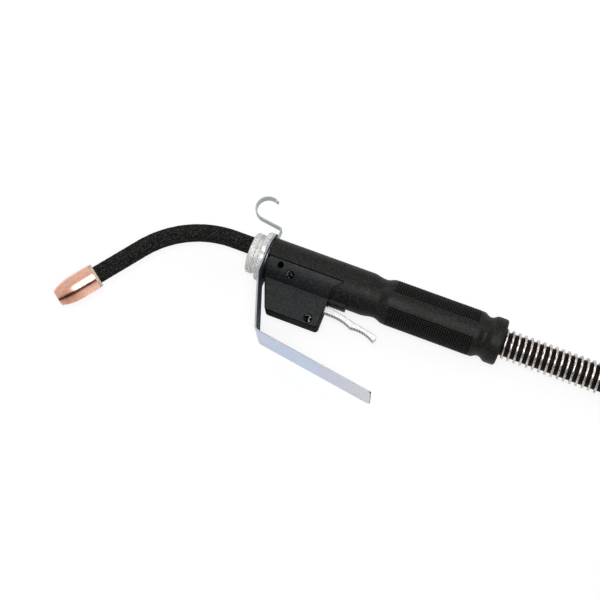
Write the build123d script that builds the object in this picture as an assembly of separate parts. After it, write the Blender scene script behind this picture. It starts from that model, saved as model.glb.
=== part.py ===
from build123d import *
import math
import os

# Gun frame used while modelling: X runs back along the handle axis from the
# rear face of the nose collar, Y points to the hanging hook, Z to the gun's left side.
# The gun lies on its right side. At the end everything moves together to the
# row frame, whose origin is the centre of the gun's box at floor level.

# ---- clearances (mm) ----
slip = 0.05              # pins, screws and tubes in their holes
seat_gap = 0.1           # shells and rings on what they sit on
soft_gap = 0.3           # rubber, cloth and wound parts beside their neighbours

# ---- handle ----
tube_r = 19.1            # plain front tube
handle_wall = 4.6
grip_rise = 0.8          # grip above the front tube
bell_rise = 1.2          # flared rear end above the front tube
waist_drop = 1.7         # both necked places below the front tube
handle_length = 211.0
grip_length = 77.4
grip_ease = 9.6          # length of each eased step between two diameters
tube_ease = 12.0
bell_ease = 7.1
bell_length = 8.4
bell_round = 2.5

# ---- nose collar (cast) ----
collar_ring_r = 18.0
collar_ring_length = 6.0
groove_depth = 0.7
collar_groove_length = 3.6
collar_flange_rise = 2.9   # flange above the handle's front tube
collar_flange_length = 5.0
collar_round = 1.4
flange_notch_width = 5.0
flange_notch_depth = 1.6
flange_notches = 3

# ---- gooseneck ----
neck_offset = 5.4        # neck axis above the handle axis
neck_tube_r = 6.2
neck_bore_r = 3.2
sleeve_wall = 1.6
neck_into_block = 27.0   # neck tube behind the collar's rear face
neck_first_run = 34.0    # straight in front of the collar's rear face
neck_bend_r = 90.0
neck_bend_angle = 54.0
neck_last_run = 45.0
liner_r = 2.4
liner_bore_r = 1.1

# ---- nozzle end, distances along the neck from the end of its sleeve ----
nozzle_r = 11.25
nozzle_mouth_r = 7.35
nozzle_wall = 1.85
nozzle_straight = 18.0
nozzle_length = 36.3
insulator_flange = 2.6
insulator_step = 0.5     # flange below the nozzle's surface
nozzle_lean = 0.42       # slope of the taper at the mouth
insulator_length = 16.0
holder_end = 22.0
holder_taper = 4.0
holder_drop = 1.4
port_count = 6           # gas ports round the holder
port_r = 0.9
port_back = 6.0
tip_r = 3.2
tip_nose_r = 1.9
tip_bore_r = 0.6
tip_length = 22.0
tip_taper = 5.0
tip_recess = 3.0         # tip stands back from the nozzle mouth

# ---- hand shield and hanging hook ----
shield_sheet = 1.4
shield_below_axis = 20.4
shield_leg = 51.3
shield_leg_lean = 19.8
shield_lower_leg = 110.0
shield_lower_fall = 8.4
shield_top_bend_r = 6.0
shield_corner_bend_r = 4.1
shield_end_round = 2.5
hook_sheet = 1.2
hook_width = 7.0
hook_tab_drop = 2.6        # tab's edge below the front tube's surface
hook_neck_height = 28.6
hook_curl_r = 10.6
hook_curl_forward = 18.5   # curl centre in front of the hook's neck
hook_curl_height = 42.0
hook_curl_end = 54.0       # degrees above the rearward direction
hook_bend_r = 2.2

# ---- conductor block, cable end ----
block_length = 40.0
block_gap = 0.5
ferrule_r = 6.4
ferrule_length = 22.0
ferrule_in_block = 7.0
cable_r = 10.4
clamp_length = 10.0
clamp_back = 3.0         # clamp behind the cable's cut end
clamp_slot = 1.2
bushing_length = 13.0
collar_screw_r = 1.6
collar_screw_head_r = 2.8
collar_screw_head = 2.4
collar_screw_y = -8.0
collar_screw_z = 7.5
collar_screw_grip = 12.0
set_screw_r = 2.5

# ---- trigger housing ----
housing_wall = 2.05
housing_half_width = 9.0
housing_front = 5.5
housing_rear = 64.0
housing_top = -3.7
housing_bottom = -46.3
housing_kink_y = -19.7     # front edge is square above this and leans below it
housing_toe_x = 16.3
housing_corner_r = 3.0
housing_round = 1.2
chevron_reach = 8.0
chevron_drop = 7.5
saddle_screw_x = 26.8
saddle_screw_y = -12.8
case_screw_x = 53.9
case_screw_y = -40.8
saddle_hole_x = 16.6
saddle_hole_y = -7.9
saddle_hole_r = 2.7
screw_r = 1.5
screw_head_r = 3.4
screw_head = 1.7
screw_recess_r = 4.0
screw_recess = 1.9
screw_cross = 0.9
saddle_floor = 0.9         # wall left under the saddle screws' heads
boss_r = 3.6
rib_length = 15.2          # lip under the handle behind the housing
rib_rise = 2.7             # lip's edge below the front tube
rib_half_width = 7.0
pin_mark_x = 66.6
pin_mark_y = 12.8
pin_mark_r = 0.9
lead_behind_block = 1.9    # the leads come up this far behind the conductor block
lead_window_length = 9.0
lead_window_width = 13.4

# ---- trigger, switch ----
trigger_half_width = 4.0
trigger_round = 1.0
pivot_x = 54.0
pivot_y = -27.3
pivot_pin_r = 1.5
hub_r = 4.4
hub_gap = 0.2
# side outline of the blade, measured from the pivot
blade_root_x = 9.6
blade_back = ((blade_root_x, 3.4), (21.3, 2.0), (33.2, -0.5), (45.0, -3.1), (58.6, -5.4))
blade_front = ((blade_root_x, -2.6), (19.5, -2.7), (28.3, -4.2), (35.4, -7.1))
blade_curl = ((35.4, -7.1), (41.8, -6.7), (49.8, -7.9), (57.8, -11.8))
blade_lip = (59.8, -8.2)
arm_reach = 28.0           # switch arm forward of the pivot
arm_half_height = 2.0
plunger_forward = 24.0
plunger_r = 1.8
plunger_length = 8.0
switch_length = 20.0
switch_height = 9.0
switch_half_width = 5.0
switch_behind_plunger = 12.0
switch_peg_r = 1.4
terminal_length = 5.0
terminal_sheet = 0.6
terminal_half_width = 1.6
first_terminal = 1.2
terminal_spacing = 4.0
lead_r = 0.7
lead_bend_r = 1.6
lead_bend_down = 18.0
spring_wire = 0.8
spring_turns = 2

# ---- cable, its spring, coil and connector ----
cable_spring_wire = 2.2
cable_spring_gap = 0.5
cable_spring_pitch = 5.4
cable_spring_turns = 17
cable_spring_inside = 7.0
coil_mid_r = 104.0
coil_layers = 2
turn_gap = 0.2
coil_x = 486.0
coil_corner_r = 9.4
tie_gap = 0.8
tie_width = 16.0
tie_sheet = 1.0
tie_angles = (20.0, -52.0, 155.0)
first_rest_x = 350.0       # where the cable starts down to the floor
second_rest_x = 440.0
join_angle = 17.6          # how far round the coil the cable still shows
boot_ahead = 104.0         # the boot starts this far in front of the coil's centre
boot_length = 32.0
boot_front_r = 11.6
boot_r = 15.0
shell_r = 19.5
shell_length = 34.0
nut_r = 21.5
nut_length = 16.0
nut_seat_drop = 5.0
pin_r = 6.0
pin_root_r = 7.0           # thicker part held in the shell
pin_length = 26.0
pin_bore_r = 2.0
pin_bore_depth = 22.0
pin_inside = 30.0
end_chamfer = 1.5
nut_flutes = 16
flute_r = 1.6
contact_pin_r = 1.2
contact_pin_length = 9.0
contact_pin_inside = 10.0
contact_pin_spread = 9.5

# ---- what follows from the sizes above ----
grip_r = tube_r + grip_rise
bell_r = tube_r + bell_rise
waist_r = tube_r - waist_drop
handle_bore_r = tube_r - handle_wall
rib_r = tube_r + rib_rise
hook_tab_r = tube_r - hook_tab_drop
collar_groove_r = collar_ring_r - groove_depth
collar_flange_r = tube_r + collar_flange_rise
block_r = handle_bore_r - soft_gap
shield_width = 2 * collar_flange_r
floor_z = -collar_flange_r
bell_start = handle_length - bell_length
rear_waist_at = bell_start - bell_ease
grip_end = rear_waist_at - bell_ease
grip_start = grip_end - grip_length
front_waist_at = grip_start - grip_ease
tube_length = front_waist_at - tube_ease
plate_rear = shield_sheet
handle_front = shield_sheet + hook_sheet
handle_end = handle_front + handle_length
collar_length = collar_ring_length + collar_groove_length + collar_flange_length
sleeve_r = neck_tube_r + slip + sleeve_wall
saddle_r = tube_r + seat_gap + housing_wall
block_front = handle_front + block_gap
block_rear = block_front + block_length
ferrule_front = block_rear - ferrule_in_block
lead_window_x = block_rear + lead_behind_block
cable_start = ferrule_front + ferrule_length

nozzle_front = insulator_flange + nozzle_length
nozzle_bore_r = nozzle_r - nozzle_wall
insulator_r = nozzle_bore_r - slip
tip_front = nozzle_front - tip_recess

inner_half = housing_half_width - housing_wall
saddle_seat_r = tube_r + seat_gap + saddle_floor
saddle_turn = math.degrees(math.asin(-saddle_screw_y / saddle_r))
case_screw_deep = -inner_half
spring_boss_r = hub_r * 0.6
pin_reach = housing_half_width - housing_wall / 2

switch_rear = pivot_x - plunger_forward + switch_behind_plunger
switch_front = switch_rear - switch_length
switch_floor = housing_bottom + housing_wall + seat_gap
switch_top = switch_floor + switch_height
switch_peg_x = switch_rear - 4.0
switch_peg_y = switch_floor + 3.2
plunger_x = pivot_x - plunger_forward
plunger_top = pivot_y - arm_half_height - seat_gap

cable_spring_mean_r = cable_r + cable_spring_gap + cable_spring_wire / 2
coil_lift = tie_gap + tie_sheet + seat_gap
turn_spacing = 2 * cable_r + turn_gap
coil_half = turn_spacing * coil_layers / 2
outer_turn_r = coil_mid_r + turn_spacing / 2
coil_y = -outer_turn_r
coil_centre_z = floor_z + coil_lift + coil_half
low_turn_z = coil_centre_z - turn_spacing / 2
top_turn_z = coil_centre_z + turn_spacing / 2
tail_y = coil_y - outer_turn_r
connector_z = floor_z + nut_r + soft_gap
boot_front = coil_x - boot_ahead
shell_face = boot_length + shell_length
nut_start = shell_face - nut_length
pin_start = shell_face - pin_inside
nut_seat_r = nut_r - nut_seat_drop


def rod_x(radius, x0, x1, y=0.0, z=0.0):
    return extrude(Plane(origin=(x0, y, z), z_dir=(1, 0, 0)) * Circle(radius), x1 - x0)


def rod_y(radius, y0, y1, x, z=0.0):
    return extrude(Plane(origin=(x, y0, z), z_dir=(0, 1, 0)) * Circle(radius), y1 - y0)


def rod_z(radius, x, y, z0, z1):
    low, high = sorted((z0, z1))
    return extrude(Plane(origin=(x, y, low), z_dir=(0, 0, 1)) * Circle(radius), high - low)


def ring_x(outer, inner, x0, x1):
    return rod_x(outer, x0, x1) - rod_x(inner, x0 - 1, x1 + 1)


def block_between(x0, x1, y0, y1, z0, z1):
    middle = Pos((x0 + x1) / 2, (y0 + y1) / 2, (z0 + z1) / 2)
    return middle * Box(abs(x1 - x0), abs(y1 - y0), abs(z1 - z0))


def group(pieces):
    # identical separate solids kept in one node
    return Compound([piece.solid() for piece in pieces])


def turned(points):
    # a closed outline of (radius, height) points, turned round the Z axis
    outline = Polyline(*[(radius, 0, height) for radius, height in points], close=True)
    return revolve(make_face(outline), axis=Axis.Z)


# ---- gooseneck path and the plane at its end ----
neck_start = (neck_into_block, neck_offset)
bend_start = (-neck_first_run, neck_offset)
neck_straight = Line(neck_start, bend_start)
neck_bend = JernArc(start=bend_start, tangent=(-1, 0), radius=neck_bend_r, arc_size=neck_bend_angle)
neck_direction = neck_bend % 1
neck_end_point = neck_bend @ 1 + neck_direction * neck_last_run
neck_path = Wire([neck_straight.edge(), neck_bend.edge(), Line(neck_bend @ 1, neck_end_point).edge()])
neck_end = Plane(origin=neck_end_point, x_dir=(0, 0, 1), z_dir=neck_direction)


def along_neck(shape):
    return neck_end.location * shape


def swept(section, path):
    start = Plane(origin=path @ 0, x_dir=(0, 0, 1), z_dir=path % 0)
    return sweep(start * section, path=path)


def make_neck_tube():
    socket = Line(neck_bend @ 1, neck_end_point + neck_direction * insulator_flange)
    path = Wire([neck_straight.edge(), neck_bend.edge(), socket.edge()])
    return swept(Circle(neck_tube_r) - Circle(neck_bore_r), path)


def make_neck_sleeve():
    front = Line((-collar_flange_length, neck_offset), bend_start)
    path = Wire([front.edge(), neck_bend.edge(), Line(neck_bend @ 1, neck_end_point).edge()])
    return swept(Circle(sleeve_r) - Circle(neck_tube_r + slip), path)


def make_wire_liner():
    return swept(Circle(liner_r) - Circle(liner_bore_r), neck_path)


# ---- nozzle end ----
def make_nozzle_insulator():
    flange_r = nozzle_r - insulator_step
    body = turned([(neck_tube_r + slip, 0), (flange_r, 0), (flange_r, insulator_flange),
                   (insulator_r, insulator_flange), (insulator_r, insulator_length),
                   (neck_tube_r + slip, insulator_length)])
    return along_neck(body)


def make_nozzle():
    # parallel skirt, then a rounded taper to the mouth, with an even wall
    rear = insulator_flange + seat_gap
    shoulder = insulator_flange + nozzle_straight
    mouth_bore = nozzle_mouth_r - nozzle_wall
    outer = Spline((nozzle_r, 0, shoulder), (nozzle_mouth_r, 0, nozzle_front),
                   tangents=[(0, 0, 1), (-nozzle_lean, 0, 1)])
    inner = Spline((mouth_bore, 0, nozzle_front), (nozzle_bore_r, 0, shoulder),
                   tangents=[(nozzle_lean, 0, -1), (0, 0, -1)])
    edges = [Line((nozzle_bore_r, 0, rear), (nozzle_r, 0, rear)),
             Line((nozzle_r, 0, rear), (nozzle_r, 0, shoulder)), outer,
             Line((nozzle_mouth_r, 0, nozzle_front), (mouth_bore, 0, nozzle_front)), inner,
             Line((nozzle_bore_r, 0, shoulder), (nozzle_bore_r, 0, rear))]
    return along_neck(revolve(make_face(Wire([edge.edge() for edge in edges])), axis=Axis.Z))


def make_tip_holder():
    start = insulator_flange + seat_gap
    socket = tip_front - tip_length - seat_gap
    body = turned([(neck_bore_r, start), (neck_tube_r, start), (neck_tube_r, holder_end - holder_taper),
                   (neck_tube_r - holder_drop, holder_end), (tip_r + slip, holder_end),
                   (tip_r + slip, socket), (neck_bore_r, socket)])
    ports = []
    for k in range(port_count):
        port = rod_x(port_r, tip_r, neck_tube_r + 1, z=holder_end - port_back)
        ports.append(Rot(0, 0, 360 / port_count * k) * port)
    return along_neck(body - ports)


def make_contact_tip():
    start = tip_front - tip_length
    body = turned([(tip_bore_r, start), (tip_r, start), (tip_r, tip_front - tip_taper),
                   (tip_nose_r, tip_front), (tip_bore_r, tip_front)])
    return along_neck(body)


# ---- nose collar ----
def neck_hole(radius, x0, x1):
    return rod_x(radius, x0, x1, y=neck_offset)


def collar_screw_holes(radius, x0, x1):
    return [rod_x(radius, x0, x1, collar_screw_y, side * collar_screw_z) for side in (-1, 1)]


def make_nose_collar():
    groove_start = -collar_flange_length - collar_groove_length
    ring = fillet(rod_x(collar_ring_r, -collar_length, groove_start).edges(), collar_round)
    groove = rod_x(collar_groove_r, groove_start - collar_round * 2, -collar_flange_length + 0.1)
    flange = fillet(rod_x(collar_flange_r, -collar_flange_length, 0).edges(), collar_round)
    notches = []
    for k in range(flange_notches):
        notch = block_between(-collar_flange_length - 1, -1.2, collar_flange_r - flange_notch_depth,
                              collar_flange_r + 3, -flange_notch_width / 2, flange_notch_width / 2)
        notches.append(Rot(105 + 360 / flange_notches * k, 0, 0) * notch)
    pocket = collar_screw_holes(collar_screw_head_r + seat_gap, -collar_length - 1,
                                -collar_length + collar_screw_head)
    body = ring + groove + flange - notches - pocket
    body -= collar_screw_holes(collar_screw_r + slip, -collar_length - 1, 1)
    body -= neck_hole(sleeve_r + seat_gap, -collar_length - 1, -collar_flange_length)
    return body - neck_hole(neck_tube_r + slip, -collar_length - 1, 1)


def make_collar_screws():
    tip_x = block_front + collar_screw_grip
    screws = []
    for side in (-1, 1):
        head = rod_x(collar_screw_head_r, -collar_length + 0.2, -collar_length + collar_screw_head,
                     collar_screw_y, side * collar_screw_z)
        socket = Plane(origin=(-collar_length, collar_screw_y, side * collar_screw_z), z_dir=(1, 0, 0))
        head -= extrude(socket * RegularPolygon(collar_screw_head_r * 0.5, 6), 1.6)
        shank = rod_x(collar_screw_r, -collar_length + collar_screw_head - 0.1, tip_x,
                      collar_screw_y, side * collar_screw_z)
        screws.append(head + shank)
    return group(screws)


# ---- hand shield and hook ----
def shield_points():
    middle = shield_sheet / 2
    lean = math.radians(shield_leg_lean)
    fall = math.radians(shield_lower_fall)
    top = (middle, collar_flange_r)
    knee = (middle, -shield_below_axis)
    corner = (knee[0] + shield_leg * math.sin(lean), knee[1] - shield_leg * math.cos(lean))
    end = (corner[0] + shield_lower_leg * math.cos(fall), corner[1] - shield_lower_leg * math.sin(fall))
    return top, knee, corner, end


def make_hand_shield():
    path = FilletPolyline(*shield_points(), radius=[shield_top_bend_r, shield_corner_bend_r])
    sheet = swept(Rectangle(shield_width, shield_sheet), path)
    sides = sheet.edges().filter_by(lambda edge: abs(edge.length - shield_sheet) < 0.01)
    sheet = fillet(sides.group_by(Axis.X)[-1], shield_end_round)
    dome = rod_x(min(collar_flange_r, shield_width / 2), -1, shield_sheet + 1)
    above = block_between(-1, shield_sheet + 1, 0, collar_flange_r + 1, -shield_width, shield_width)
    sheet -= above - dome
    sheet -= collar_screw_holes(collar_screw_r + slip, -1, shield_sheet + 1)
    return sheet - neck_hole(neck_tube_r + slip, -1, shield_sheet + 1)


def make_hanging_hook():
    x_neck = shield_sheet + hook_sheet / 2
    centre = Vector(x_neck - hook_curl_forward, hook_curl_height)
    knee = Vector(x_neck, hook_neck_height)
    span = centre - knee
    heading = math.atan2(span.Y, span.X) + math.asin(hook_curl_r / span.length)
    reach = math.sqrt(span.length ** 2 - hook_curl_r ** 2)
    forward = Vector(math.cos(heading), math.sin(heading))
    touch = knee + forward * reach
    start_angle = math.degrees(heading) + 90
    neck = FilletPolyline((x_neck, hook_tab_r - 3), knee, touch, radius=hook_bend_r)
    curl = JernArc(start=touch, tangent=forward, radius=hook_curl_r,
                   arc_size=-(start_angle - hook_curl_end))
    strip = swept(Rectangle(hook_width, hook_sheet), Wire(neck.edges() + curl.edges()))
    tips = strip.edges().filter_by(lambda edge: abs(edge.length - hook_sheet) < 0.01)
    strip = fillet(tips.group_by(Axis.Y)[-1], hook_width * 0.3)
    tab = rod_x(hook_tab_r, shield_sheet, handle_front)
    tab -= collar_screw_holes(collar_screw_r + slip, 0, handle_front + 1)
    return tab - neck_hole(neck_tube_r + slip, 0, handle_front + 1) + strip


# ---- handle ----
def ease(x0, r0, x1, r1):
    return Spline((x0, r0), (x1, r1), tangents=[(1, 0), (1, 0)])


def make_handle():
    stations = [(0, tube_r), (tube_length, tube_r), (front_waist_at, waist_r), (grip_start, grip_r),
                (grip_end, grip_r), (rear_waist_at, waist_r), (bell_start, bell_r), (handle_length, bell_r)]
    points = [(handle_front + x, radius) for x, radius in stations]
    skin = []
    for (x0, r0), (x1, r1) in zip(points, points[1:]):
        skin.append(Line((x0, r0), (x1, r1)) if r0 == r1 else ease(x0, r0, x1, r1))
    closing = Polyline((handle_end, bell_r), (handle_end, handle_bore_r), (handle_front, handle_bore_r),
                       (handle_front, tube_r))
    profile = Wire([edge for part in skin + [closing] for edge in part.edges()])
    body = revolve(make_face(profile), axis=Axis.X)
    rims = body.edges().filter_by(GeomType.CIRCLE).group_by(Axis.X)[-1]
    body = fillet(rims.sort_by(SortBy.RADIUS)[-1], bell_round)
    rib = rod_x(rib_r, housing_rear + soft_gap, housing_rear + soft_gap + rib_length)
    rib &= block_between(0, handle_end, -rib_r - 1, -waist_r + 1, -rib_half_width, rib_half_width)
    body += rib - rod_x(tube_r - 1, 0, handle_end)
    for side in (-1, 1):
        body -= on_saddle(rod_z(screw_r + slip, saddle_screw_x, 0, handle_bore_r - 1, tube_r + 1), side)
    body -= rod_z(pin_mark_r, pin_mark_x, pin_mark_y, tube_surface(pin_mark_y) - 1.5, tube_r + 1)
    window = block_between(lead_window_x - lead_window_length / 2, lead_window_x + lead_window_length / 2,
                           -tube_r - 1, -handle_bore_r * 0.6, -lead_window_width / 2, lead_window_width / 2)
    return body - window


def tube_surface(y):
    return math.sqrt(tube_r ** 2 - y ** 2)


def saddle_surface(y):
    return math.sqrt(saddle_r ** 2 - y ** 2)


def on_saddle(shape, side):
    # from upright above the axis to one side of the saddle, pointing at the axis
    return Rot(saddle_turn if side > 0 else 180 - saddle_turn, 0, 0) * shape


# ---- trigger housing ----
def housing_outline(inset):
    low = housing_bottom + inset
    top = housing_top + inset
    rear = housing_rear - inset
    slanted = inset * 1.1
    corners = [(housing_front + inset, top), (housing_rear + chevron_reach, top),
               (rear, housing_top - chevron_drop), (rear, low), (housing_toe_x + slanted, low),
               (housing_front + slanted, housing_kink_y)]
    return make_face(Polyline(*corners, close=True))


def housing_solid():
    # a saddle that hugs the tube, above a narrower box with rounded edges
    side_view = extrude(housing_outline(0), saddle_r + 2, both=True)
    low_corners = side_view.edges().filter_by(Axis.Z).group_by(Axis.Y)[0]
    side_view = fillet(low_corners, housing_corner_r)
    saddle = side_view & rod_x(saddle_r, 0, handle_end)
    box_top = -saddle_surface(housing_half_width) + 2.5
    lower = side_view & block_between(0, handle_end, housing_bottom - 1, box_top,
                                      -housing_half_width, housing_half_width)
    rim = lower.edges().filter_by(lambda edge: abs(abs(edge.center().Z) - housing_half_width) < 0.01)
    rim = rim.filter_by(lambda edge: edge.center().Y < box_top - 0.01)
    return saddle + fillet(rim, housing_round)


def housing_cavity():
    hollow = extrude(housing_outline(housing_wall), inner_half, both=True)
    keep_below = block_between(0, handle_end, housing_bottom, -tube_r * 0.9, -inner_half, inner_half)
    tube_seat = rod_x(tube_r + seat_gap, 0, handle_end)
    return (hollow & keep_below) + tube_seat


def make_housing(side):
    body = housing_solid() - housing_cavity()
    slot = block_between(housing_rear - housing_wall * 2, housing_rear + 1, pivot_y - hub_r, -tube_r,
                         -trigger_half_width - hub_gap * 2, trigger_half_width + hub_gap * 2)
    body -= slot
    half_space = block_between(0, handle_end, -100, 100, 0, side * 60)
    body &= half_space
    boss_top = trigger_half_width + hub_gap
    into_wall = side * (inner_half + 0.2)
    body += rod_z(spring_boss_r, pivot_x, pivot_y, side * boss_top, into_wall)
    body -= rod_z(pivot_pin_r + slip, pivot_x, pivot_y, 0, side * (pin_reach + soft_gap))
    body += rod_z(boss_r, case_screw_x, case_screw_y, 0, into_wall)
    body += rod_z(switch_peg_r, switch_peg_x, switch_peg_y, side * soft_gap, into_wall)
    hole_start = side * tube_surface(saddle_hole_y)
    body -= rod_z(saddle_hole_r, saddle_hole_x, saddle_hole_y, hole_start, side * (saddle_r + 1))
    body -= on_saddle(rod_z(screw_recess_r, saddle_screw_x, 0, saddle_seat_r, saddle_r + 1), side)
    body -= on_saddle(rod_z(screw_r + slip, saddle_screw_x, 0, tube_r, saddle_r), side)
    if side < 0:
        return body - rod_z(screw_r + slip, case_screw_x, case_screw_y, 0, case_screw_deep)
    body -= rod_z(screw_r + slip, case_screw_x, case_screw_y, 0, housing_half_width)
    return body - rod_z(screw_recess_r, case_screw_x, case_screw_y, housing_half_width - screw_recess,
                        housing_half_width + 1)


def cross_screw(x, y, seat, tip):
    # pan head with a cross recess on a plain shank, pointing down
    top = seat + screw_head
    head = rod_z(screw_head_r, x, y, seat, top)
    head = fillet(head.edges().group_by(Axis.Z)[-1], screw_head * 0.4)
    for turn in (0, 90):
        slot = Rot(0, 0, turn) * Box(screw_head_r * 1.2, screw_cross, screw_head * 1.2)
        head -= Pos(x, y, top) * slot
    return head + rod_z(screw_r, x, y, tip, seat + 0.1)


def make_housing_screws():
    saddle_screw = cross_screw(saddle_screw_x, 0, saddle_seat_r, handle_bore_r + seat_gap)
    case_screw = cross_screw(case_screw_x, case_screw_y, housing_half_width - screw_recess,
                             case_screw_deep + soft_gap)
    return group([on_saddle(saddle_screw, 1), on_saddle(saddle_screw, -1), case_screw])


# ---- trigger and switch ----
def trigger_blade():
    # a curved finger blade whose free end turns down into a lip
    lip = Polyline(blade_back[-1], blade_lip, blade_curl[-1])
    lines = [Spline(*blade_back), lip, Spline(*blade_curl[::-1]), Spline(*blade_front[::-1]),
             Line(blade_front[0], blade_back[0])]
    outline = Wire([edge for line in lines for edge in line.edges()])
    blade = extrude(make_face(outline), trigger_half_width, both=True)
    rims = blade.edges().filter_by(lambda edge: abs(abs(edge.center().Z) - trigger_half_width) < 0.01)
    return fillet(rims.filter_by(lambda edge: edge.center().X > blade_root_x + 1), trigger_round)


def make_trigger():
    width = trigger_half_width
    root_top = blade_back[0][1]
    root_bottom = blade_front[0][1]
    hub = rod_z(hub_r, 0, 0, -width, width)
    neck = block_between(0, blade_root_x + 0.5, root_bottom + 0.1, root_top - 0.1, -width, width)
    arm = block_between(-arm_reach, 0, -arm_half_height, arm_half_height, -width * 0.75, width * 0.75)
    body = trigger_blade() + hub + neck + arm
    return Pos(pivot_x, pivot_y) * (body - rod_z(pivot_pin_r + slip, 0, 0, -width - 1, width + 1))


def make_trigger_pin():
    return rod_z(pivot_pin_r, pivot_x, pivot_y, -pin_reach, pin_reach)


def make_trigger_spring():
    # the wound part of a torsion spring round the right-hand boss
    mean_r = spring_boss_r + seat_gap + spring_wire / 2
    start_z = -(trigger_half_width + hub_gap + spring_wire * 0.6)
    pitch = spring_wire + seat_gap
    helix = Pos(pivot_x, pivot_y, start_z) * Rot(180, 0, 0) * Helix(pitch, pitch * spring_turns, mean_r)
    section = Plane(origin=helix @ 0, z_dir=helix % 0) * Circle(spring_wire / 2)
    return sweep(section, path=helix, is_frenet=True)


def make_switch_body():
    body = block_between(switch_front, switch_rear, switch_floor, switch_top,
                         -switch_half_width, switch_half_width)
    body = fillet(body.edges().filter_by(Axis.Z), 0.8)
    body -= rod_z(switch_peg_r + slip, switch_peg_x, switch_peg_y, -10, 10)
    return body - rod_y(plunger_r + slip, switch_top - plunger_length, switch_top + 1, plunger_x)


def make_switch_plunger():
    plunger = rod_y(plunger_r, plunger_top - plunger_length, plunger_top, plunger_x)
    return fillet(plunger.edges().group_by(Axis.Y)[-1], 0.9)


def make_switch_terminals():
    tabs = []
    for k in range(2):
        low = terminal_y(k)
        tabs.append(block_between(switch_rear + slip, switch_rear + terminal_length, low,
                                  low + terminal_sheet, -terminal_half_width, terminal_half_width))
    return group(tabs)


def terminal_y(k):
    return switch_floor + first_terminal + terminal_spacing * k


def make_switch_leads():
    # two wires from the tabs, past the trigger arm and up into the handle
    leads = []
    for k, side in ((0, -1), (1, 1)):
        tab_y = terminal_y(k) + terminal_sheet + lead_r + slip
        tab_x = switch_rear + terminal_length - 2
        z_side = side * (trigger_half_width + lead_r + 0.5)
        up_x = lead_window_x + side
        corners = [(tab_x, tab_y, side * 0.8), (tab_x, tab_y, z_side), (up_x, -lead_bend_down, z_side),
                   (up_x, -handle_bore_r * 0.72, z_side)]
        path = FilletPolyline(*corners, radius=lead_bend_r)
        leads.append(sweep(Plane(origin=path @ 0, z_dir=path % 0) * Circle(lead_r), path=path))
    return group(leads)


# ---- conductor block and the cable's end inside the handle ----
def make_conductor_block():
    body = rod_x(block_r, block_front, block_rear)
    body = chamfer(body.edges(), 0.8)
    body -= neck_hole(neck_tube_r + slip, block_front - 1, neck_into_block + seat_gap)
    body -= neck_hole(liner_r + seat_gap, block_front, neck_into_block + 4)
    body -= rod_x(ferrule_r + slip, block_rear - ferrule_in_block - seat_gap, block_rear + 1)
    body -= collar_screw_holes(collar_screw_r + slip, block_front - 1, block_front + collar_screw_grip + 1)
    for x in set_screw_places():
        body -= rod_y(set_screw_r + slip, neck_offset, block_r + 1, x)
    return body


def set_screw_places():
    return block_front + block_length * 0.2, block_front + block_length * 0.45


def make_set_screws():
    top = block_r - 0.6
    low = neck_offset + neck_tube_r + seat_gap
    return group([rod_y(set_screw_r, low, top, x) for x in set_screw_places()])


def make_cable_ferrule():
    return rod_x(ferrule_r, ferrule_front, cable_start)


def make_cable_end():
    return rod_x(cable_r, cable_start, handle_end)


def make_cable_clamp():
    start = cable_start + clamp_back
    end = start + clamp_length
    ring = ring_x(handle_bore_r - seat_gap, cable_r + seat_gap, start, end)
    return ring - block_between(start - 1, end + 1, 0, handle_bore_r, -clamp_slot / 2, clamp_slot / 2)


def make_rear_bushing():
    front = handle_end - cable_spring_inside - soft_gap - bushing_length
    return ring_x(handle_bore_r - seat_gap, cable_r + seat_gap, front, front + bushing_length)


def make_cable_spring():
    length = cable_spring_pitch * cable_spring_turns
    start = handle_end - cable_spring_inside + cable_spring_wire / 2
    helix = Helix(cable_spring_pitch, length, cable_spring_mean_r)
    section = Plane(origin=helix @ 0, z_dir=helix % 0) * Circle(cable_spring_wire / 2)
    coil = sweep(section, path=helix, is_frenet=True)
    return Pos(start, 0, 0) * Rot(0, 90, 0) * coil


# ---- free cable, coil, ties ----
def cable_route():
    # straight out of the spring, down towards the floor, then into the coil's lower outer turn
    turn = math.radians(join_angle)
    joined = (coil_x + outer_turn_r * math.sin(turn), coil_y + outer_turn_r * math.cos(turn), low_turn_z)
    return [(handle_end, 0, 0), (first_rest_x, 0, 0), (second_rest_x, 0, low_turn_z), joined]


def tail_route():
    # off the top of the coil and down to the connector's boot
    step = boot_ahead / 6
    return [(coil_x - step, tail_y, top_turn_z), (coil_x - 2 * step, tail_y, top_turn_z),
            (boot_front + step, tail_y, connector_z), (boot_front, tail_y, connector_z)]


def corner_radii(points):
    radii = []
    for before, here, after in zip(points, points[1:], points[2:]):
        first = Vector(here) - Vector(before)
        second = Vector(after) - Vector(here)
        turn = math.radians(first.get_angle(second))
        radii.append(0.45 * min(first.length, second.length) / math.tan(turn / 2))
    return radii


def cord_tube(name, points):
    radii = corner_radii(points)
    path = FilletPolyline(*points, radius=radii)
    tube = sweep(Plane(origin=path @ 0, z_dir=path % 0) * Circle(cable_r), path=path)
    expected = math.pi * cable_r ** 2 * path.length
    print(name, "bend radii", [round(radius) for radius in radii], "length", round(path.length, 1),
          "volume / section x length", round(tube.volume / expected, 4))
    return tube


def make_gun_cable():
    return cord_tube("gun_cable", cable_route())


def make_cable_tail():
    return cord_tube("cable_tail", tail_route())


def make_cable_coil():
    section = Plane.XZ * Pos(coil_mid_r, 0) * RectangleRounded(2 * coil_half, 2 * coil_half, coil_corner_r)
    ring = revolve(section, axis=Axis.Z)
    return Pos(coil_x, coil_y, coil_centre_z) * ring


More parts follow.
